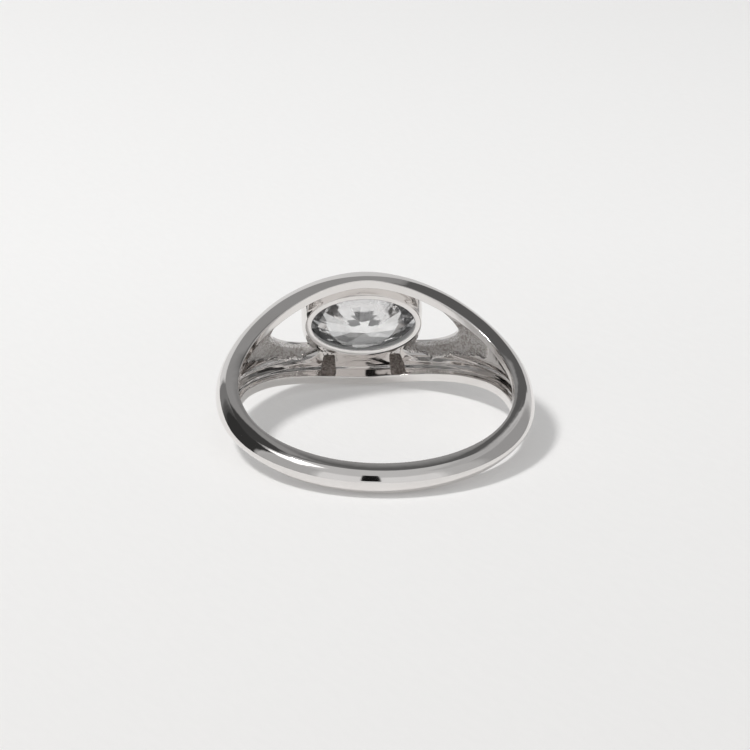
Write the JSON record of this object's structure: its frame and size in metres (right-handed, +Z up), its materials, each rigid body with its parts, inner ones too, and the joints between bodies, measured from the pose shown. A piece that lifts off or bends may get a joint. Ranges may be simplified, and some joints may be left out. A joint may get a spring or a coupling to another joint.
{
  "type": "oval ring",
  "caption": "Finger ring with an oval faceted stone held in a smooth collar between two arches, and a tapered band that is hollow behind the head.",
  "frame": {"origin": "bottom centre of the ring's box, on the surface that the ring lies on", "axes": "+Z up, +Y from the back of the band towards the head and the stone, +X across the head; the ring lies on its side, so the finger's axis leans 10.3 degrees back from +Z"},
  "size_m": [0.0192, 0.021, 0.0077],
  "materials": {
    "white_gold": "polished white metal, rough as cast inside the hollow",
    "clear_stone": "clear, faceted and polished"
  },
  "bodies": {
    "root": {"ring_band": "white_gold", "oval_stone": "clear_stone"}
  },
  "joints": []
}
